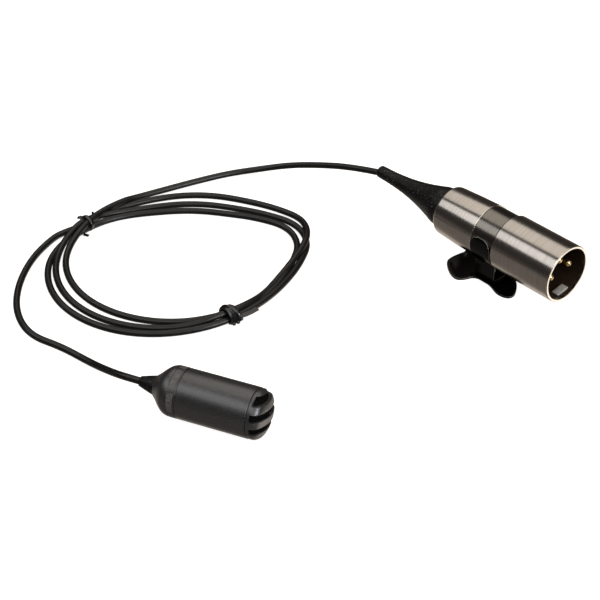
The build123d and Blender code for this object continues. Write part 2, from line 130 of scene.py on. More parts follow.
MIC_LEAD = [
    (-10.4, 0, 7.5), (-24.5, 0, 7.4), (-34, 4.3, 4.0), (-43, 8.9, CORD_R), (-54, 12.0, CORD_R),
    (-66, 13.2, CORD_R), (-76, 21.5, CORD_R), (-83, 34, CORD_R), (-87, 49, CORD_R), (-86.8, 62, CORD_R),
    (-85.2, 66.5, CORD_R),
]
CONNECTOR_LEAD = [
    (-78.0, 80.4, 3.4), (-74.6, 90.1, 2.8), (-72.5, 94.7, 1.8), (-66.5, 103.9, CORD_R),
    (-58.6, 113.6, CORD_R), (-50.5, 122.6, CORD_R), (-41.5, 128.8, 1.6), (-31, 131.1, 4.4),
    (-20, 129.6, 7.9), (-9, 127.5, 11.1), (2.0, 125.2, 13.2), (8.08, 123.015, 14.5), (36.16, 109.89, 14.5),
]
# Each turn's offset from the loops' middle line along the near, right and far stretches,
# first turn first.
TURN_OFFSETS = ((0.6, -0.6, 5.3), (4.1, 2.7, -0.7), (-4.0, 1.0, -5.1))
# Sideways place and lift in the bundle. The left tie has one for each pass of the cord,
# before, between and after the turns; the right tie has one for each turn.
LEFT_PLACES = ((0.1, 0.0), (0.1, 2.2), (-2.1, 0.0), (-2.1, 2.2))
RIGHT_PLACES = ((0.6, 1.9), (1.7, 0.0), (-0.5, 0.0))


# --- materials: the record's slots and a few shades of them, built with nodes ---

COOL = (0.93, 0.965, 1.0, 1)


class Finish:
    """Node tree of one material slot, with its shader ready to be set."""

    def __init__(self, slot, color, roughness, metallic=0.0):
        self.material = bpy.data.materials.get(slot) or bpy.data.materials.new(slot)
        self.material.use_nodes = True
        self.tree = self.material.node_tree
        self.tree.nodes.clear()
        self.shader = self.node("ShaderNodeBsdfPrincipled")
        output = self.node("ShaderNodeOutputMaterial")
        self.link(self.shader.outputs["BSDF"], output.inputs["Surface"])
        self.place = self.node("ShaderNodeTexCoord").outputs["Object"]
        self.set(**{"Base Color": (*color, 1), "Roughness": roughness, "Metallic": metallic})

    def node(self, kind, **settings):
        """New node of a kind, with its settings."""
        made = self.tree.nodes.new(kind)
        for name, value in settings.items():
            setattr(made, name, value)
        return made

    def link(self, start, end):
        """Wire from one socket to another."""
        self.tree.links.new(start, end)

    def set(self, **values):
        """Plain values for the shader's inputs."""
        for name, value in values.items():
            self.shader.inputs[name].default_value = value

    def stretched(self, x, y, z):
        """Texture place with its own count of cells per millimetre along each axis."""
        scale = self.node("ShaderNodeMapping")
        self.link(self.place, scale.inputs["Vector"])
        scale.inputs["Scale"].default_value = (x / MM, y / MM, z / MM)
        return scale.outputs["Vector"]

    def noise(self, cells, detail=2.0, roughness=0.5):
        """Noise value; cells is a count per millimetre, or one for each axis."""
        x, y, z = cells if isinstance(cells, tuple) else (cells, cells, cells)
        made = self.node("ShaderNodeTexNoise")
        self.link(self.stretched(x, y, z), made.inputs["Vector"])
        made.inputs["Scale"].default_value = 1.0
        made.inputs["Detail"].default_value = detail
        made.inputs["Roughness"].default_value = roughness
        return made.outputs["Fac"]

    def spread(self, value, low, high, start=0.3, end=0.7):
        """Colour or grey that goes from low to high as value goes from start to end."""
        made = self.node("ShaderNodeValToRGB")
        self.link(value, made.inputs["Fac"])
        for stop, position, color in zip(made.color_ramp.elements, (start, end), (low, high)):
            stop.position = position
            stop.color = (*color, 1) if isinstance(color, tuple) else (color, color, color, 1)
        return made.outputs["Color"]

    def color(self, value, low, high, start=0.3, end=0.7):
        """Base colour spread over a value."""
        self.link(self.spread(value, low, high, start, end), self.shader.inputs["Base Color"])

    def roughness(self, value, low, high, start=0.3, end=0.7):
        """Roughness spread over a value."""
        self.link(self.spread(value, low, high, start, end), self.shader.inputs["Roughness"])

    def bump(self, value, height, strength=1.0):
        """Relief of the given height in millimetres."""
        made = self.node("ShaderNodeBump")
        made.inputs["Strength"].default_value = strength
        made.inputs["Distance"].default_value = height * MM
        self.link(value, made.inputs["Height"])
        self.link(made.outputs["Normal"], self.shader.inputs["Normal"])


def powder_coat():
    """Charcoal paint with fine hard grains."""
    finish = Finish("mic_black", (0.05, 0.05, 0.052), 0.42)
    grain = finish.noise(4.5, detail=3, roughness=0.6)
    finish.color(grain, (0.011, 0.011, 0.0113), (0.055, 0.055, 0.057), 0.36, 0.68)
    finish.roughness(finish.noise(2.0), 0.27, 0.36)
    finish.bump(grain, 0.045, 0.7)
    finish.set(**{"Specular IOR Level": 1.5, "Specular Tint": COOL})


def woven_cloth():
    """Black cloth behind the grille."""
    finish = Finish("black_cloth", (0.004, 0.004, 0.004), 0.95)
    weave = finish.node("ShaderNodeTexVoronoi")
    finish.link(finish.stretched(5, 5, 5), weave.inputs["Vector"])
    weave.inputs["Scale"].default_value = 1.0
    finish.color(weave.outputs["Distance"], (0.010, 0.010, 0.010), (0.002, 0.002, 0.002), 0.1, 0.6)
    finish.bump(weave.outputs["Distance"], 0.08)
    finish.set(**{"Specular IOR Level": 0.1})


def printed_pad():
    """Blank grey pads, slightly worn."""
    finish = Finish("pad_grey", (0.2, 0.2, 0.2), 0.5)
    worn = finish.noise(1.6, detail=4)
    finish.color(worn, (0.085, 0.084, 0.083), (0.18, 0.178, 0.175), 0.35, 0.65)
    finish.bump(finish.noise(6), 0.015, 0.5)


def rubber():
    """Matt rubber of the boot and strain relief, with faint dust and moulding grain."""
    finish = Finish("black_rubber", (0.006, 0.006, 0.0065), 0.45)
    dust = finish.noise(2.4, detail=2, roughness=0.4)
    finish.color(dust, (0.005, 0.005, 0.0055), (0.30, 0.29, 0.28), 0.66, 0.72)
    finish.roughness(finish.noise(1.2, detail=3), 0.38, 0.5)
    finish.bump(finish.noise(3.2, detail=3), 0.02, 0.6)
    finish.set(**{"Specular IOR Level": 0.35, "Specular Tint": COOL})


def jacket():
    """Satin cord jacket with very faint lengthwise unevenness."""
    finish = Finish("cord_black", (0.007, 0.007, 0.0075), 0.34)
    finish.color(finish.noise(0.25, detail=4), (0.005, 0.005, 0.0055), (0.010, 0.010, 0.0105))
    finish.roughness(finish.noise(0.8, detail=3), 0.28, 0.40)
    finish.bump(finish.noise(1.1, detail=3), 0.02, 0.35)
    finish.set(**{"Specular IOR Level": 0.6, "Specular Tint": COOL})


def tie_ribbon():
    """Glossy plastic ribbon."""
    finish = Finish("tie_black", (0.006, 0.006, 0.0065), 0.24)
    finish.roughness(finish.noise(1.5, detail=3), 0.16, 0.3)
    finish.bump(finish.noise(1.8, detail=2), 0.03, 0.5)
    finish.set(**{"Specular IOR Level": 1.2, "Specular Tint": COOL})


def brushed_metal(slot, dark, light, roughness, streaks=7.0):
    """Metal turned on a lathe: fine scratches run round the local X axis."""
    finish = Finish(slot, light, roughness, 1.0)
    fine = finish.noise((streaks, 0.03, 0.03), detail=4, roughness=0.6)
    finish.color(fine, dark, light, 0.3, 0.6)
    finish.roughness(fine, roughness * 1.15, roughness * 0.9)
    finish.bump(fine, 0.0022, 0.5)
    around = finish.node("ShaderNodeTangent", direction_type="RADIAL", axis="X")
    finish.link(around.outputs["Tangent"], finish.shader.inputs["Tangent"])
    finish.set(**{"Anisotropic": 0.75, "Anisotropic Rotation": 0.25})


def plain_metal(slot, color, roughness):
    """Small metal part with slightly uneven polish."""
    finish = Finish(slot, color, roughness, 1.0)
    shade = tuple(0.82 * part for part in color)
    patches = finish.noise(0.9, detail=4)
    finish.color(patches, shade, color)
    finish.roughness(patches, roughness * 1.3, roughness * 0.8)


def plain_moulding(slot, color, roughness):
    """Moulded part with fine grain."""
    finish = Finish(slot, color, roughness)
    grain = finish.noise(2.2, detail=3)
    finish.color(grain, tuple(0.75 * part for part in color), tuple(1.2 * part for part in color))
    finish.bump(grain, 0.02, 0.5)


def clip_paint():
    """Gloss black enamel over pressed steel, slightly wavy."""
    finish = Finish("clip_black", (0.0016, 0.0016, 0.0018), 0.16)
    finish.roughness(finish.noise(0.7, detail=3), 0.12, 0.22)
    finish.bump(finish.noise(0.5, detail=2), 0.02, 0.3)
    finish.set(**{"Specular IOR Level": 0.3, "Specular Tint": COOL})


def make_materials():
    """Every finish of the scene."""
    powder_coat()
    woven_cloth()
    printed_pad()
    rubber()
    jacket()
    tie_ribbon()
    clip_paint()
    brushed_metal("nickel", (0.49, 0.467, 0.438), (0.66, 0.63, 0.594), 0.24, 9.0)
    brushed_metal("sleeve_nickel", (0.22, 0.212, 0.192), (0.30, 0.288, 0.262), 0.26, 9.0)
    # brighter copy of nickel for the lip and the bead: painted highlight
    plain_metal("highlight_nickel", (0.86, 0.82, 0.76), 0.22)
    # lighter metal on the clip's eased edges: painted edge highlights
    plain_metal("edge_highlight_metal", (0.34, 0.325, 0.31), 0.3)
    plain_moulding("latch_grey", (0.55, 0.54, 0.52), 0.4)
    plain_metal("gold", (1.0, 0.78, 0.42), 0.24)
    plain_metal("brass", (0.68, 0.5, 0.25), 0.3)
    plain_metal("aluminium", (0.72, 0.72, 0.74), 0.35)
    plain_metal("copper", (0.66, 0.33, 0.18), 0.35)
    plain_metal("steel", (0.48, 0.47, 0.46), 0.22)
    plain_metal("magnet", (0.2, 0.2, 0.21), 0.4)
    plain_moulding("insulator_dark", (0.030, 0.017, 0.010), 0.45)
    plain_moulding("board_brown", (0.24, 0.15, 0.08), 0.5)
    plain_moulding("wire_red", (0.42, 0.04, 0.03), 0.4)
    plain_moulding("clear_film", (0.7, 0.7, 0.68), 0.2)


# --- mesh helpers ---

def as_piece(name, mesh, place, slot, body, *nodes, finish=None):
    """Object for a finished mesh: it takes a slot's finish, rides on a body and stands for CAD nodes."""
    piece = bpy.data.objects.new(name, mesh)
    bpy.context.collection.objects.link(piece)
    piece.matrix_world = place
    mesh.materials.append(bpy.data.materials[finish or slot])
    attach(piece, body)
    if nodes:
        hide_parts(*nodes)
    return piece


def smooth(mesh, angle=32):
    """Smooth shading, broken at edges sharper than the angle."""
    mesh.shade_smooth()
    mesh.set_sharp_from_angle(angle=radians(angle))


def finished(build, name, angle=32):
    """Mesh from a bmesh whose points are in millimetres."""
    bmesh.ops.recalc_face_normals(build, faces=build.faces)
    bmesh.ops.scale(build, vec=(MM, MM, MM), verts=build.verts)
    mesh = bpy.data.meshes.new(name)
    build.to_mesh(mesh)
    build.free()
    smooth(mesh, angle)
    return mesh


def eased(outline, closed=True):
    """Outline of (x, radius[, ease]) points with each eased corner rounded off."""
    made = []
    count = len(outline)
    for index, point in enumerate(outline):
        here = Vector(point[:2])
        ease = point[2] if len(point) > 2 else 0
        if not ease or (not closed and index in (0, count - 1)):
            made.append(here)
            continue
        before = Vector(outline[index - 1][:2]) - here
        after = Vector(outline[(index + 1) % count][:2]) - here
        start = here + before.normalized() * min(ease, before.length / 2)
        end = here + after.normalized() * min(ease, after.length / 2)
        for step in range(5):
            share = step / 4
            made.append(start * (1 - share) ** 2 + here * 2 * share * (1 - share) + end * share**2)
    return made


def rounded(points, steps=5):
    """Smooth closed line through all the points, several steps from each to the next."""
    corners = [Vector(point) for point in points]
    count = len(corners)
    made = []
    for index in range(count):
        before, start, end, after = (corners[(index + shift) % count] for shift in (-1, 0, 1, 2))
        for step in range(steps):
            share = step / steps
            bend = 2 * before - 5 * start + 4 * end - after
            twist = 3 * start - before - 3 * end + after
            made.append(start + (share * (end - before) + share**2 * bend + share**3 * twist) / 2)
    return made


def turned(outline, closed=True):
    """Surface of revolution round X. A closed outline makes a hollow solid."""
    build = bmesh.new()
    rings = []
    for x, radius in eased(outline, closed):
        if radius < 1e-6:
            rings.append([build.verts.new((x, 0, 0))] * AROUND)
            continue
        ring = []
        for step in range(AROUND):
            turn = 2 * pi * step / AROUND
            ring.append(build.verts.new((x, radius * sin(turn), radius * cos(turn))))
        rings.append(ring)
    following = rings[1:] + rings[:1] if closed else rings[1:]
    for ring, after in zip(rings, following):
        for step in range(AROUND):
            corner = (step + 1) % AROUND
            face = dict.fromkeys((ring[step], ring[corner], after[corner], after[step]))
            if len(face) > 2:
                build.faces.new(face)
    return build


def block(build, centre, size, turn=None, ease=0.2):
    """Eased box, used as a cutter or as a small pressed part."""
    place = (turn or Matrix()) @ Matrix.Translation(centre) @ Matrix.Diagonal((*size, 1))
    made = bmesh.ops.create_cube(build, size=1, matrix=place)["verts"]
    edges = list({edge for vert in made for edge in vert.link_edges})
    bmesh.ops.bevel(build, geom=edges, offset=ease, segments=3, affect="EDGES", profile=0.5)


def cut(mesh, cutter, bevel=0.0):
    """Mesh minus a cutter. A bevel, if given, eases its sharp edges."""
    whole = bpy.data.objects.new("whole", mesh)
    tool = bpy.data.objects.new("tool", cutter)
    for helper in (whole, tool):
        bpy.context.collection.objects.link(helper)
    difference = whole.modifiers.new("cut", "BOOLEAN")
    difference.operation = "DIFFERENCE"
    difference.solver = "EXACT"
    difference.object = tool
    if bevel:
        ease = whole.modifiers.new("ease", "BEVEL")
        ease.width = bevel * MM
        ease.segments = 2
        ease.angle_limit = radians(40)
        ease.harden_normals = False
    graph = bpy.context.evaluated_depsgraph_get()
    made = bpy.data.meshes.new_from_object(whole.evaluated_get(graph))
    for helper in (whole, tool):
        bpy.data.objects.remove(helper)
    smooth(made)
    return made


def swept(path, outward, section):
    """Band along a path of points; section is a closed outline of (across, out) offsets."""
    build = bmesh.new()
    rings = []
    for index, (point, out) in enumerate(zip(path, outward)):
        ahead = path[min(index + 1, len(path) - 1)] - path[max(index - 1, 0)]
        across = ahead.cross(out).normalized()
        up = across.cross(ahead).normalized()
        rings.append([build.verts.new(point + across * side + up * rise) for side, rise in section])
    count = len(section)
    for ring, after in zip(rings, rings[1:]):
        for step in range(count):
            corner = (step + 1) % count
            build.faces.new((ring[step], ring[corner], after[corner], after[step]))
    build.faces.new(rings[0][::-1])
    build.faces.new(rings[-1])
    return build


def arc(centre, radius, start, end, steps):
    """Points on a circle, angles in degrees, both ends included."""
    turns = [radians(start + (end - start) * step / steps) for step in range(steps + 1)]
    return [(centre[0] + radius * cos(turn), centre[1] + radius * sin(turn)) for turn in turns]


# --- camera, floor and light ---

def make_camera():
    """Camera at the photograph's viewing angle."""
    data = bpy.data.cameras.new("camera")
    data.sensor_width = 36
    data.lens = 91.31
    camera = bpy.data.objects.new("camera", data)
    bpy.context.collection.objects.link(camera)
    camera.location = (0.15406, -0.29318, 0.28180)
    camera.rotation_euler = (radians(54), 0, radians(23.09))
    data.clip_start = 0.01
    bpy.context.scene.camera = camera


def softbox(name, lean, width, length, distance, power, color):
    """Long area light over the connector's axis, leant towards the camera's side by an angle."""
    data = bpy.data.lights.new(name, "AREA")
    data.shape = "RECTANGLE"
    data.size = length
    data.size_y = width
    data.energy = power
    data.color = color
    light = bpy.data.objects.new(name, data)
    bpy.context.collection.objects.link(light)
    away = Matrix.Rotation(radians(lean), 4, "X") @ Matrix.Translation((0, 0, distance))
    light.matrix_world = Matrix.Translation((0.02, 0.07, 0)) @ TURN @ away


def mouth_light():
    """Small soft light in front of the connector's open end, for its pins and the grille."""
    data = bpy.data.lights.new("mouth", "AREA")
    data.shape = "RECTANGLE"
    data.size, data.size_y = 0.5, 0.35
    data.energy = 3.5
    light = bpy.data.objects.new("mouth", data)
    bpy.context.collection.objects.link(light)
    towards = Vector((FORWARD.x, FORWARD.y, 0.34)).normalized()
    light.location = RIM * MM + towards * 0.9
    light.rotation_euler = towards.to_track_quat("Z", "Y").to_euler()


def smooth_range(tree, value, start, end, high=1.0):
    """Value turned into a smooth rise from 0 to high."""
    made = tree.nodes.new("ShaderNodeMapRange")
    made.interpolation_type = "SMOOTHSTEP"
    for name, number in (("From Min", start), ("From Max", end), ("To Max", high)):
        made.inputs[name].default_value = number
    tree.links.new(value, made.inputs["Value"])
    return made.outputs["Result"]


def product(tree, first, second, operation="MULTIPLY"):
    """Two values multiplied, or joined by another operation."""
    made = tree.nodes.new("ShaderNodeMath")
    made.operation = operation
    tree.links.new(first, made.inputs[0])
    tree.links.new(second, made.inputs[1])
    return made.outputs["Value"]


def glow(tree, split):
    """Warm light that a white table sends up from beyond the object, stronger towards the right."""
    beyond = smooth_range(tree, split.outputs["Y"], -0.02, 0.32, 0.55)
    right = smooth_range(tree, split.outputs["X"], 0.35, 0.7, 1.1)
    both = product(tree, beyond, right, "ADD")
    below = smooth_range(tree, split.outputs["Z"], -0.3, -0.5)
    amount = product(tree, product(tree, both, below), beyond)
    tint = tree.nodes.new("ShaderNodeMix")
    tint.data_type = "RGBA"
    tint.inputs["A"].default_value = (0, 0, 0, 1)
    tint.inputs["B"].default_value = (1.6, 1.42, 1.26, 1)
    tree.links.new(amount, tint.inputs["Factor"])
    return tint.outputs["Result"]


def room_colour(tree, split):
    """Dim room colour by height, a little warmer and lighter below."""
    height = tree.nodes.new("ShaderNodeMapRange")
    height.inputs["From Min"].default_value = -1
    tree.links.new(split.outputs["Z"], height.inputs["Value"])
    ramp = tree.nodes.new("ShaderNodeValToRGB")
    tree.links.new(height.outputs["Result"], ramp.inputs["Fac"])
    low, high = ramp.color_ramp.elements
    low.position, low.color = 0.36, (0.17, 0.148, 0.13, 1)
    high.position, high.color = 0.50, (0.034, 0.029, 0.026, 1)
    return ramp.outputs["Color"]


def sum_of(tree, first, second):
    """Two colours added."""
    made = tree.nodes.new("ShaderNodeMix")
    made.data_type = "RGBA"
    made.blend_type = "ADD"
    made.inputs["Factor"].default_value = 1
    tree.links.new(first, made.inputs["A"])
    tree.links.new(second, made.inputs["B"])
    return made.outputs["Result"]


def make_world():
    """Dim room that lights the object, and plain white wherever the camera sees past the floor."""
    world = bpy.data.worlds.new("studio")
    bpy.context.scene.world = world
    world.use_nodes = True
    tree = world.node_tree
    room = tree.nodes["Background"]
    direction = tree.nodes.new("ShaderNodeTexCoord")
    split = tree.nodes.new("ShaderNodeSeparateXYZ")
    tree.links.new(direction.outputs["Generated"], split.inputs["Vector"])
    tree.links.new(sum_of(tree, room_colour(tree, split), glow(tree, split)), room.inputs["Color"])
    backdrop = tree.nodes.new("ShaderNodeBackground")
    backdrop.inputs["Color"].default_value = (1, 1, 1, 1)
    seen = tree.nodes.new("ShaderNodeLightPath")
    mix = tree.nodes.new("ShaderNodeMixShader")
    tree.links.new(seen.outputs["Is Camera Ray"], mix.inputs["Fac"])
    tree.links.new(room.outputs["Background"], mix.inputs[1])
    tree.links.new(backdrop.outputs["Background"], mix.inputs[2])
    tree.links.new(mix.outputs["Shader"], tree.nodes["World Output"].inputs["Surface"])


def make_floor():
    """Plain white floor that glows a little, so that shadows on it stay faint."""
    mesh = bpy.data.meshes.new("floor")
    half = 2.0
    corners = [(-half, -half, 0), (half, -half, 0), (half, half, 0), (-half, half, 0)]
    mesh.from_pydata(corners, [], [(0, 1, 2, 3)])
    floor = bpy.data.objects.new("floor", mesh)
    bpy.context.collection.objects.link(floor)
    material = bpy.data.materials.new("floor")
    material.use_nodes = True
    shader = material.node_tree.nodes["Principled BSDF"]
    shader.inputs["Base Color"].default_value = (0.9, 0.9, 0.9, 1)
    shader.inputs["Roughness"].default_value = 0.9
    shader.inputs["Specular IOR Level"].default_value = 0.0
    shader.inputs["Emission Color"].default_value = (1, 1, 1, 1)
    shader.inputs["Emission Strength"].default_value = 0.85
    mesh.materials.append(material)
    floor.visible_glossy = False
    floor.visible_diffuse = False


# --- cord ---

def turned_away(angle, middle):
    """Signed angle from a middle direction, from -180 to 180 degrees."""
    return (angle - middle + 180) % 360 - 180


def bump(angle, height, middle, spread):
    """Smooth rise or dip about one direction."""
    return height * exp(-((turned_away(angle, middle) / spread) ** 2))


def wave(angle, start, end, skew=1.0, fullness=1.0):
    """Half wave: 0 outside the two angles and 1 between them, later than midway when skew is over 1."""
    if not start < angle < end:
        return 0.0
    return sin(pi * ((angle - start) / (end - start)) ** skew) ** fullness


def loop_point(travelled):
    """Point of the loops after so many degrees from the left tie, going round by the far side."""
    number = min(int(travelled // 360), len(TURN_OFFSETS) - 1)
    angle = LEFT_TIE - (travelled - 360 * number)
    near, right, far = TURN_OFFSETS[number]
    radius = LOOP_R + bump(angle, *LOOP_CORNER) + bump(angle, *LOOP_FLAT)
    radius += near * wave(angle, LEFT_TIE - 360, RIGHT_TIE, 1.1, 0.75)
    radius += right * wave(angle, RIGHT_TIE, 60, 1.25) + far * wave(angle, 8, LEFT_TIE, 1.1)
    height = CORD_R
    for middle, (side, lift) in enumerate(LEFT_PLACES):
        close = exp(-(((travelled - 360 * middle) / 16) ** 2))
        radius += side * close
        height += (lift + TIE_LIFT) * close
    side, lift = RIGHT_PLACES[number]
    close = bump(angle, 1, RIGHT_TIE, 16)
    radius += side * close
    height += (lift + TIE_LIFT) * close
    if number == 0:
        height += bump(angle, 2 * CORD_R, 35, 17)
    radius /= cos(radians(TURN_STEP / 2))  # the spline runs through the middles between its points
    turn = radians(angle)
    return (LOOP_CENTRE[0] + radius * cos(turn), LOOP_CENTRE[1] + radius * sin(turn), height)


def cord_route():
    """Control points from inside the microphone, round the loops and into the connector."""
    turns = 360 * len(TURN_OFFSETS)
    loops = [loop_point(travelled) for travelled in range(0, turns + 1, TURN_STEP)]
    return MIC_LEAD + loops + CONNECTOR_LEAD


def make_cord():
    """The whole cord as one spline, both leads and the loops."""
    data = bpy.data.curves.new("cord", "CURVE")
    data.dimensions = "3D"
    data.bevel_depth = CORD_R * MM
    data.bevel_resolution = 6
    data.resolution_u = 8
    data.use_fill_caps = True
    route = cord_route()
    spline = data.splines.new("NURBS")
    spline.points.add(len(route) - 1)
    for place, point in zip(spline.points, route):
        place.co = (*(Vector(point) * MM), 1)
    spline.order_u = 3
    spline.use_endpoint_u = True
    cord = bpy.data.objects.new("cord", data)
    bpy.context.collection.objects.link(cord)
    data.materials.append(bpy.data.materials["cord_black"])
    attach(cord, "microphone")
    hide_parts("mic_lead", "connector_lead", "cord_coil", "cord_end")
    return cord


# --- microphone ---

def grille():
    """Domed cap with three slots, eased along every edge."""
    seam = FRONT_SEAM
    outline = [
        (seam + 0.06, 7.38, 0.15), (seam + 1.1, 7.4), (seam + 1.5, 7.35), (seam + 1.9, 7.2),
        (seam + 2.4, 6.93), (seam + 2.85, 6.55), (seam + 3.25, 5.95), (seam + 3.6, 5.2),
        (seam + 3.95, 4.2), (seam + 4.25, 3.0), (seam + 4.5, 1.7), (seam + 4.6, 0.8), (seam + 4.62, 0),
        (seam + 4.0, 0), (seam + 3.8, 1.9), (seam + 3.45, 3.2), (seam + 3.0, 4.4), (seam + 2.4, 5.5),
        (seam + 1.8, 6.2), (seam + 1.2, 6.5), (seam + 0.3, 6.52), (seam - 2.0, 6.52), (seam - 2.0, 6.55),
        (seam + 0.06, 6.55),
    ]
    cap = finished(turned(outline), "grille")
    cutter = bmesh.new()
    slot_back = seam + 0.9
    reach = 8
    size = (reach, 2 * MIC_R + 2, SLOT_WIDTH)
    roll = Matrix.Rotation(radians(SLOT_ROLL), 4, "X")
    for index in range(SLOT_COUNT):
        height = FIRST_SLOT + index * SLOT_PITCH
        block(cutter, (slot_back + reach / 2, 0, height), size, roll, ease=0.3)
    return cut(cap, finished(cutter, "slots"), bevel=0.18)


def grille_cloth():
    """Cloth dome just behind the slots."""
    seam = FRONT_SEAM
    outline = [
        (seam - 0.5, 6.4), (seam + 1.0, 6.25), (seam + 1.6, 5.9), (seam + 2.2, 5.2), (seam + 2.8, 4.1),
        (seam + 3.25, 2.9), (seam + 3.6, 1.6), (seam + 3.75, 0),
    ]
    return finished(turned(outline, closed=False), "grille_cloth", 80)


def rear_cap():
    """Coned shoulder behind a shallow ring for the pads."""
    seam = REAR_SEAM
    outline = [
        (seam - 0.07, MIC_R, 0.12), (seam - 0.4, MIC_R, 0.06), (seam - 0.4, MIC_R - 0.14),
        (seam - 2.7, MIC_R - 0.14), (seam - 2.7, MIC_R, 0.06), (seam - 3.6, MIC_R, 0.7),
        (seam - 4.8, 7.08, 0.6), (seam - 5.9, 6.25, 0.6), (seam - 6.9, 5.28, 0.6), (seam - 7.9, 4.25, 0.5),
        (seam - 9.0, 3.32, 0.25), (seam - 9.1, 2.6), (seam + 2, 2.6), (seam + 2, 6.5), (seam - 0.07, 6.5),
    ]
    return finished(turned(outline), "rear_cap")


def pads():
    """Blank pads round the rear cap's ring, each a thin curved tile."""
    build = bmesh.new()
    inner, outer = MIC_R - 0.13, MIC_R + 0.01
    count, pad_span, first_pad, steps = 6, 50, 55, 24
    for index in range(count):
        first = first_pad + index * 360 / count
        rows = []
        for step in range(steps + 1):
            turn = radians(first + pad_span * step / steps)
            row = []
            for radius in (inner, outer):
                for x in (REAR_SEAM - 0.6, REAR_SEAM - 2.5):
                    row.append(build.verts.new((x, -radius * sin(turn), radius * cos(turn))))
            rows.append(row)
        for row, after in zip(rows, rows[1:]):
            for a, b in ((0, 1), (1, 3), (3, 2), (2, 0)):
                build.faces.new((row[a], row[b], after[b], after[a]))
        for row in (rows[0], rows[-1]):
            build.faces.new((row[0], row[1], row[3], row[2]))
    return finished(build, "pads", 40)


def strain_relief():
    """Short taper round the cord behind the shoulder."""
    outline = [
        (RELIEF_TIP, CORD_R), (RELIEF_TIP, 1.5, 0.12), (-18.0, 2.25, 0.4), (RELIEF_FOOT - 0.25, 2.95, 0.2),
        (RELIEF_FOOT, 2.95, 0.1), (RELIEF_FOOT, 1.6), (-16.0, CORD_R),
    ]
    return finished(turned(outline), "strain_relief")


def make_microphone():
    """Housing, grille, cloth, shoulder, pads and strain relief."""
    seam_gap = 0.05
    ease = 0.13
    housing = [
        (REAR_SEAM + seam_gap, MIC_R, ease), (FRONT_SEAM - seam_gap, MIC_R, ease),
        (FRONT_SEAM - seam_gap, MIC_R - 0.9), (REAR_SEAM + seam_gap, MIC_R - 0.9),
    ]
    body = "microphone"
    as_piece("housing", finished(turned(housing), "housing"), MIC, "mic_black", body, "mic_housing")
    as_piece("grille", grille(), MIC, "mic_black", body, "grille_cap")
    as_piece("cloth", grille_cloth(), MIC, "black_cloth", body, "grille_cloth")
    as_piece("rear_shoulder", rear_cap(), MIC, "mic_black", body, "rear_cap")
    as_piece("pads", pads(), MIC, "pad_grey", body, "label_pads")
    as_piece("mic_relief", strain_relief(), MIC, "black_rubber", body, "mic_strain_relief")


# --- connector ---

def back(outline, name, angle=32):
    """Turned mesh from (distance back from the rim, radius[, ease]) points."""
    return finished(turned([(-point[0], *point[1:]) for point in outline]), name, angle)


def front_shell():
    """Shell with a rounded rim, a latch pocket, a key notch and a screw hole."""
    shell = back([
        (0, MOUTH_R, 0.12), (0, SHELL_R - 0.05, 0.22), (0.5, SHELL_R, 0.2),
        (SHELL_LENGTH - 0.04, SHELL_R, 0.3), (SHELL_LENGTH - 0.04, SHELL_BORE), (17, SHELL_BORE),
        (16.8, MOUTH_R),
    ], "front_shell")
    cutter = bmesh.new()
    block(cutter, (-3.8, 0, -SHELL_BORE), (4.4, 5.9, 1.1), PIN_TURN)
    block(cutter, (-5, 0, -SHELL_BORE), (12, 1.1, 0.9), KEY_TURN)
    block(cutter, (-SCREW_BACK, SHELL_R, 0), (2.5, 3, 2.5), ease=1.2)
    return cut(shell, finished(cutter, "cutter"))


def latch():
    """Spring latch that fills the pocket inside the rim."""
    build = bmesh.new()
    block(build, (-3.0, 0, -SHELL_BORE + 0.1), (2.6, 4.8, 0.9), ease=0.28)
    return finished(build, "latch")


def contact():
    """Round-nosed pin."""
    nose = [(2.1, 0), (2.13, 0.3), (2.22, 0.6), (2.42, 0.88), (2.72, 1.08), (3.1, PIN_R)]
    shank = [(22, PIN_R), (22, 0)]
    return back(nose + shank, "contact", 60)


def insulator():
    """Moulded disc behind the pins' noses, sloped at its edge."""
    edge = SHELL_BORE - 0.02
    return back([
        (INSULATOR_FACE, 0), (INSULATOR_FACE, 7.9, 0.3), (INSULATOR_FACE + 0.7, edge), (21, edge), (21, 0),
    ], "insulator")


def lining():
    """Dark moulded liner of the front shell, from just inside the rim to the insulator."""
    outer, inner = MOUTH_R - 0.02, MOUTH_R - 0.1
    end = INSULATOR_FACE + 0.2
    return back([(1.1, outer), (end, outer), (end, inner), (1.1, inner)], "lining")


def rim():
    """Lip round the front shell's mouth, in a brighter nickel that is a painted highlight."""
    return back([
        (1.1, MOUTH_R - 0.04, 0.1), (0.12, MOUTH_R - 0.02, 0.1), (-0.03, MOUTH_R + 0.03, 0.05),
        (-0.03, SHELL_R - 0.1, 0.16), (0.42, SHELL_R + 0.02, 0.1), (0.45, SHELL_R - 0.2),
        (1.1, MOUTH_R + 0.1),
    ], "rim")


def seam_ring(start, width, radius):
    """Thin raised ring that closes a seam between two sleeves."""
    end = start + width
    foot = radius - 1.2
    return back([(start, foot), (start, radius, 0.1), (end, radius, 0.1), (end, foot)], "seam_ring")


def middle_sleeve():
    """Sleeve at the bottom of the clip's groove, running under both shells."""
    start, end = SHELL_LENGTH - 1, GROOVE_END + 1
    return back([(start, GROOVE_R), (end, GROOVE_R), (end, 7.2), (start, 7.2)], "sleeve")


def rear_shell():
    """Slightly tapered shell from the groove to the boot."""
    start = GROOVE_END + 0.03
    return back([
        (start, 8.0), (start, 9.05, 0.25), (40, 8.8), (48.5, 8.33, 0.3),
        (REAR_SHELL_END, 8.1, 0.15), (REAR_SHELL_END, 6.9), (46, 6.9), (46, 7.9),
    ], "rear_sleeve")


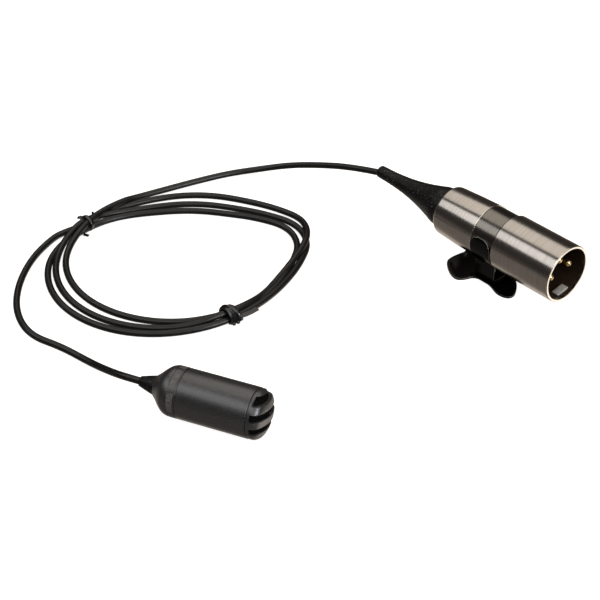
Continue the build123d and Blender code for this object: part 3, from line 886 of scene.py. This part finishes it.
def boot():
    """Long rubber taper with a narrow neck at the shell."""
    return back([
        (48.5, 6.85), (49.02, 7.3), (50.4, 7.2, 0.25), (50.6, 6.6, 0.1), (51.0, 6.75, 0.15), (53, 6.5, 0.3),
        (55.5, 5.7, 0.8), (59, 4.72, 1.5), (62, 4.02, 1.3), (65, 3.42, 1.4), (68.3, 2.92, 1.6),
        (72, 2.52, 1.8), (76.5, 2.22, 2), (BOOT_TIP, 2.1, 0.3), (BOOT_TIP, CORD_R), (48.5, CORD_R),
    ], "boot")


def make_pins():
    """The three contacts, all as far from the axis."""
    made = []
    for name, angle in PIN_ANGLES.items():
        turn = Matrix.Rotation(radians(PIN_ROLL + angle), 4, "X")
        place = CONNECTOR @ turn @ Matrix.Translation((0, 0, PIN_CIRCLE * MM))
        made.append(as_piece(name, contact(), place, "gold", "microphone", "contact_" + name))
    return made


def make_connector():
    """Every piece of the connector, from the mouth back to the boot."""
    body = "microphone"
    latch_place = CONNECTOR @ PIN_TURN
    # dark ring at the front shell's back edge: a painted shadow line in the gap there
    painted_shadow_ring = seam_ring(SHELL_LENGTH, 0.36, 9.0)
    bead = seam_ring(BEAD_START, 0.42, 9.2)
    return [
        as_piece("front_sleeve", front_shell(), CONNECTOR, "nickel", body, "front_shell"),
        as_piece("latch", latch(), latch_place, "nickel", body, finish="latch_grey"),
        as_piece("liner", lining(), CONNECTOR, "insulator_dark", body),
        # lip in the brighter nickel, a painted highlight
        as_piece("lip", rim(), CONNECTOR, "nickel", body, finish="highlight_nickel"),
        # black ring that is the painted shadow at the front shell's back edge
        as_piece("painted_shadow_ring", painted_shadow_ring, CONNECTOR, "black_rubber", body),
        # bead in the brighter nickel, a painted highlight
        as_piece("bead", bead, CONNECTOR, "nickel", body, finish="highlight_nickel"),
        as_piece("insert", insulator(), CONNECTOR, "insulator_dark", body, "pin_insulator"),
        *make_pins(),
        as_piece(
            "middle_sleeve", middle_sleeve(), CONNECTOR, "nickel", body, "centre_sleeve",
            finish="sleeve_nickel",
        ),
        as_piece("rear_sleeve", rear_shell(), CONNECTOR, "nickel", body, "rear_shell"),
        as_piece("boot_cover", boot(), CONNECTOR, "black_rubber", body, "boot"),
    ]


# --- belt clip ---

def paint_edge_highlights(build, edges, width):
    """Eased edges given a lighter metal as their second material, a painted highlight where the edges catch
    the light.
    """
    eased_edges = bmesh.ops.bevel(build, geom=edges, offset=width, segments=2, affect="EDGES", profile=0.5)
    for face in eased_edges["faces"]:
        face.material_index = 1


def saddle_line(offset):
    """Section of the saddle from one arm's tip to the other's, pushed out by an offset."""
    radius = GROOVE_R + 0.05 + offset
    wall = WALL_Y - CLIP_STEEL + offset
    floor = BASE_Z + CLIP_STEEL - offset
    drop = sqrt(radius**2 - wall**2)
    bend = 0.5 + offset
    arm = arc((0, RIM.z), radius, 90 - ARM_ANGLE, degrees(atan2(-drop, wall)), 26)
    low, high = floor + bend, RIM.z - drop
    side = [(wall, high + (low - high) * step / 6) for step in range(1, 6)]
    corner = arc((wall - bend, low), bend, 0, -90, 5)
    half = arm + side + corner
    return half + [(-y, z) for y, z in reversed(half)]


def saddle_rows(build, line, across):
    """Rows of points across the saddle, narrower towards the rounded arm tips."""
    top = RIM.z + (GROOVE_R + 0.05 + CLIP_STEEL) * cos(radians(ARM_ANGLE)) + 0.1
    corner_r = CLIP_WIDTH / 2 - 0.5
    rows = []
    for y, z in line:
        over = max(0.0, z - (top - corner_r))
        half = CLIP_WIDTH / 2 - corner_r + sqrt(max(0.0, corner_r**2 - over**2))
        xs = [half * (2 * step / across - 1) for step in range(across + 1)]
        rows.append([build.verts.new((x, y, z)) for x in xs])
    return rows


def saddle():
    """Bent channel whose arm tips are rounded, as one closed sheet."""
    build = bmesh.new()
    across = 12
    layers = [saddle_rows(build, saddle_line(offset), across) for offset in (CLIP_STEEL, 0)]
    for rows in layers:
        for row, after in zip(rows, rows[1:]):
            for step in range(across):
                build.faces.new((row[step], row[step + 1], after[step + 1], after[step]))
    out, inn = layers
    for index in range(len(out) - 1):
        for edge in (0, -1):
            build.faces.new((out[index][edge], out[index + 1][edge], inn[index + 1][edge], inn[index][edge]))
    for end in (0, -1):
        for step in range(across):
            build.faces.new((out[end][step], out[end][step + 1], inn[end][step + 1], inn[end][step]))
    bmesh.ops.remove_doubles(build, verts=build.verts, dist=0.001)
    bmesh.ops.recalc_face_normals(build, faces=build.faces)
    sharp = [edge for edge in build.edges if edge.calc_face_angle(0) > radians(50)]
    # sharp edges get the lighter metal of the painted edge highlights
    paint_edge_highlights(build, sharp, 0.15)
    return finished(build, "saddle", 40)


def lower_leaf():
    """Pressed leaf with dished lobes, a tongue to the hinge and a thumb tab."""
    build = bmesh.new()
    outline = rounded(LEAF_EDGE)
    face = build.faces.new([build.verts.new((x, y, JAW_STEEL)) for x, y in outline])
    lifted = bmesh.ops.extrude_face_region(build, geom=[face])
    bottom = [item for item in lifted["geom"] if isinstance(item, bmesh.types.BMVert)]
    bmesh.ops.translate(build, vec=(0, 0, -JAW_STEEL), verts=bottom)
    bmesh.ops.recalc_face_normals(build, faces=build.faces)
    bmesh.ops.inset_region(build, faces=[face], thickness=0.9, depth=0)
    bmesh.ops.inset_region(build, faces=[face], thickness=0.5, depth=-0.28)
    rims = [edge for edge in build.edges if edge.calc_face_angle(0) > radians(50)]
    # rim edges get the lighter metal of the painted edge highlights
    paint_edge_highlights(build, rims, 0.15)
    block(build, (0, 4.2, JAW_STEEL / 2), (TONGUE_WIDTH, 7.4, JAW_STEEL), ease=0.15)
    lean = Matrix.Translation((0, HINGE_Y, 0.4)) @ Matrix.Rotation(radians(33), 4, "X")
    block(build, (0, 3.4, JAW_STEEL / 2), (TONGUE_WIDTH, 5.4, JAW_STEEL), lean, ease=0.25)
    for side in (-1, 1):
        barrel = Matrix.Translation((side * 2.5, HINGE_Y, HINGE_Z)) @ Matrix.Rotation(pi / 2, 4, "Y")
        bmesh.ops.create_cone(
            build, cap_ends=True, segments=32, radius1=KNUCKLE_R, radius2=KNUCKLE_R, depth=1.2,
            matrix=barrel,
        )
    return finished(build, "lower_leaf", 40)


def make_clip():
    """Saddle and lower leaf, with lighter metal as the second material of each, for painted edge highlights.
    """
    made = [
        as_piece("saddle_band", saddle(), CLIP, "clip_black", "saddle", "saddle_clip"),
        as_piece("jaw_leaf", lower_leaf(), CLIP, "clip_black", "jaw", "lower_leaf"),
    ]
    for piece in made:
        # second material: lighter metal for the painted edge highlights
        piece.data.materials.append(bpy.data.materials["edge_highlight_metal"])


# --- twist ties ---

def tie_place(angle, along=0.0, outwards=0.0):
    """Frame at a tie: X outwards from the loops' centre, Y along the bundle, Z up."""
    turn = radians(angle)
    radius = LOOP_R + bump(angle, *LOOP_CORNER) + bump(angle, *LOOP_FLAT)
    centre = (LOOP_CENTRE[0] + radius * cos(turn), LOOP_CENTRE[1] + radius * sin(turn), 0)
    place = Matrix.Translation(Vector(centre) * MM) @ Matrix.Rotation(turn, 4, "Z")
    return place @ Matrix.Translation((outwards * MM, along * MM, 0))


def ribbon_section(width, thickness, ridges=1):
    """Ribbon with round ridges along it and thinner edges."""
    half = width / 2
    top = [(-half, 0.3)]
    pitch = 1.7 * half / ridges
    for ridge in range(ridges):
        middle = pitch * (ridge + 0.5 - ridges / 2)
        top += [(middle - 0.36 * pitch, 0.62), (middle, 1), (middle + 0.36 * pitch, 0.62)]
        top.append((middle + pitch / 2, 0.35))
    lips = [(-half, -0.3), *top, (half, 0.3), (half, -0.3), (0, -0.5)]
    return [(side, rise * thickness / 2) for side, rise in lips]


def wrap(turns, start, pitch, slant, half_width, half_height, middle, section):
    """Ribbon wound round a middle height, flattened where it would pass below its lowest height."""
    path, outward = [], []
    steps = int(40 * turns)
    for step in range(steps + 1):
        turn = 2 * pi * turns * step / steps + start
        out = Vector((cos(turn) / half_width, 0, sin(turn) / half_height)).normalized()
        side = half_width * cos(turn)
        along = pitch * (step / steps - 0.5) * turns + slant * cos(turn)
        path.append(Vector((side, along, max(middle + half_height * sin(turn), RIBBON_LOW))))
        outward.append(out)
    return swept(path, outward, section)


def tail(points, section):
    """Flat end of a tie along a short list of points."""
    path = [Vector(point) for point in points]
    return swept(path, [Vector((0, 0.25, 1))] * len(path), section)


def tie_piece(name, build, place, *nodes):
    """One ribbon piece of a tie."""
    return as_piece(name, finished(build, name, 50), place, "tie_black", "microphone", *nodes)


def make_left_tie():
    """One glossy band, its twisted loop beside the bundle and two short ends."""
    place = tie_place(LEFT_TIE, along=-1.2, outwards=-1.0)
    middle = CORD_R * 2 + TIE_LIFT
    band = wrap(1.0, -1.2, 0.4, -0.3, 2.65, 2.5, middle, ribbon_section(1.4, 0.6))
    knot = wrap(1.6, 0.4, 0.7, 0.0, 1.0, 0.9, 0, ribbon_section(1.0, 0.6))
    bmesh.ops.translate(knot, vec=(2.3, 0.6, 3.6), verts=knot.verts)
    stub = tail([(-1.4, 3.9, 0.8), (-2.4, 3.9, 0.9), (-3.4, 3.8, 0.9)], ribbon_section(1.0, 0.5))
    spike = tail([(1.2, -4.4, 3.2), (1.3, -4.6, 3.9), (1.4, -4.7, 4.2)], ribbon_section(0.8, 0.5))
    return [
        tie_piece("left_band", band, place, "left_tie"),
        tie_piece("left_knot", knot, place),
        tie_piece("left_stub", stub, place),
        tie_piece("left_spike", spike, place),
    ]


def make_right_tie():
    """Bulky knot: a broad ridged ribbon over the bundle, a thin strand across it and a tail."""
    place = tie_place(RIGHT_TIE, along=0.3, outwards=1.3)
    middle = 2.45
    broad = wrap(1.0, -1.0, 0.4, 0.35, 3.0, 2.4, middle, ribbon_section(3.5, 1.0, 4))
    strand = wrap(1.0, -1.6, 0.3, 1.6, 3.3, 3.0, middle, ribbon_section(1.2, 0.9))
    nubs = bmesh.new()
    for out, along, height in ((3.3, 1.7, 3.2), (3.6, 1.8, 2.3), (3.7, 0.6, 1.6), (3.5, -0.8, 1.4)):
        spot = Matrix.Translation((out, along, height))
        bmesh.ops.create_uvsphere(nubs, u_segments=12, v_segments=8, radius=0.62, matrix=spot)
    end_path = [(2.9, 1.2, 3.0), (3.0, 3.4, 2.9), (2.8, 5.8, 2.9), (2.4, 8.2, 3.0)]
    end = tail(end_path, ribbon_section(2.1, 0.6, 3))
    return [
        tie_piece("right_ribbon", broad, place, "right_tie"),
        tie_piece("right_strand", strand, place),
        tie_piece("right_nubs", nubs, place),
        tie_piece("right_tail", end, place),
    ]


make_camera()
make_materials()
cord = make_cord()
make_microphone()
connector_pieces = make_connector()
make_clip()
tie_pieces = make_left_tie() + make_right_tie()
make_world()
make_floor()
softbox("overhead", -16.6, 1.19, 3.0, 1.2, 9.7, (1.0, 0.92, 0.82))
softbox("front", 38, 0.70, 3.0, 1.2, 7.8, (1.0, 0.965, 0.95))
mouth_light()
bpy.context.scene.view_settings.view_transform = "Standard"
